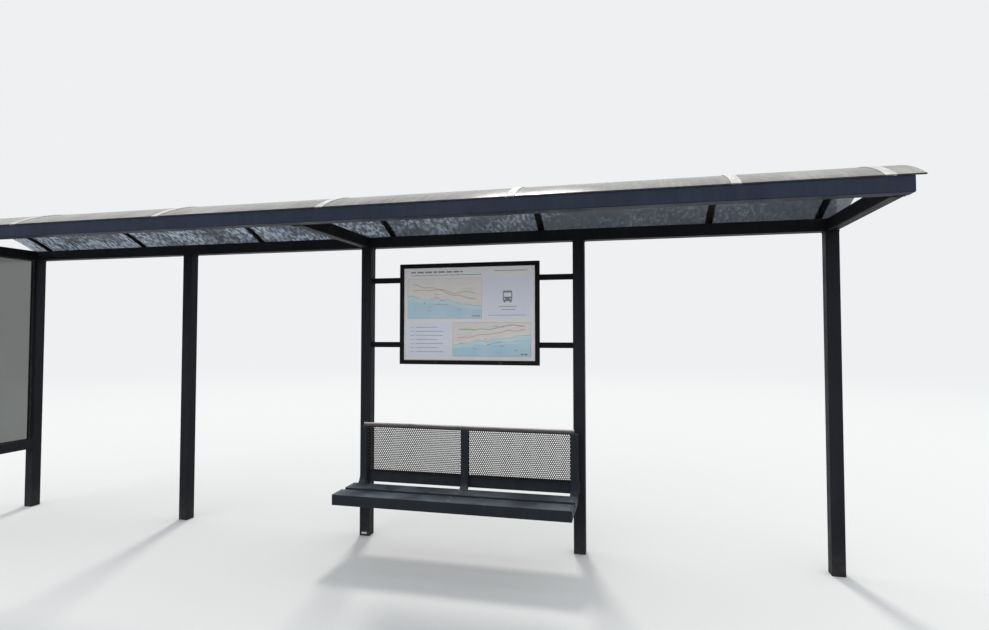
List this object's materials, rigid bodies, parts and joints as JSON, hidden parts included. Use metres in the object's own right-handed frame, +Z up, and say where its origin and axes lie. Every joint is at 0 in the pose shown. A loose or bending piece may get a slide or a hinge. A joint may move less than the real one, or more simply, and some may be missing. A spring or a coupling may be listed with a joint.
{
  "type": "bus shelter",
  "caption": "Roadside bus shelter: square posts, a flat tube frame with a shallow vaulted clear roof, one glazed end, a slatted bench with perforated back and a framed notice case.",
  "frame": {"origin": "middle of the third post's foot, on the ground", "axes": "+X to the right as seen from the road, along the row of posts; +Y to the back, away from the road; +Z up"},
  "size_m": [6.57, 1.122, 2.4006],
  "materials": {
    "frame_paint": "matt anthracite powder coat, dusty, faintly orange-peeled",
    "bench_paint": "matt anthracite powder coat, worn and dusty on the seat",
    "perforated_sheet": "matt anthracite powder coat on round-hole sheet",
    "roof_clear": "clear solid plastic sheet, hazed and dusty",
    "cover_strip": "mill finish, weathered pale",
    "tinted_pane": "smoke-tinted, smooth",
    "backing_board": "matt grey",
    "printed_sheet": "printed pale sheet, satin",
    "case_clear": "clear cover, slightly scratched"
  },
  "bodies": {
    "root": {"post_1": "frame_paint", "post_2": "frame_paint", "post_3": "frame_paint", "post_4": "frame_paint", "post_5": "frame_paint", "rear_beam": "frame_paint", "front_beam": "frame_paint", "beam_end_caps": "frame_paint", "roof_arm_left": "frame_paint", "roof_arm_middle": "frame_paint", "roof_arm_right": "frame_paint", "rafter_1": "frame_paint", "rafter_2": "frame_paint", "rafter_3": "frame_paint", "rafter_4": "frame_paint", "rafter_5": "frame_paint", "rafter_6": "frame_paint", "rafter_7": "frame_paint", "roof_sheet_1": "roof_clear", "roof_sheet_2": "roof_clear", "roof_sheet_3": "roof_clear", "roof_sheet_4": "roof_clear", "roof_sheet_5": "roof_clear", "roof_sheet_6": "roof_clear", "cover_strips": "cover_strip", "end_upright": "frame_paint", "end_rail": "frame_paint", "end_pane": "tinted_pane", "bench_bracket_left": "bench_paint", "bench_bracket_middle": "bench_paint", "bench_bracket_right": "bench_paint", "seat_slat_rear": "bench_paint", "seat_slat_front": "bench_paint", "back_top_rail": "frame_paint", "back_low_rail": "frame_paint", "back_sheet_left": "perforated_sheet", "back_sheet_right": "perforated_sheet", "case_rail_upper": "frame_paint", "case_rail_lower": "frame_paint", "case_tray": "frame_paint", "case_board": "backing_board", "case_print": "printed_sheet", "case_cover": "case_clear", "case_frame": "frame_paint"}
  },
  "joints": []
}
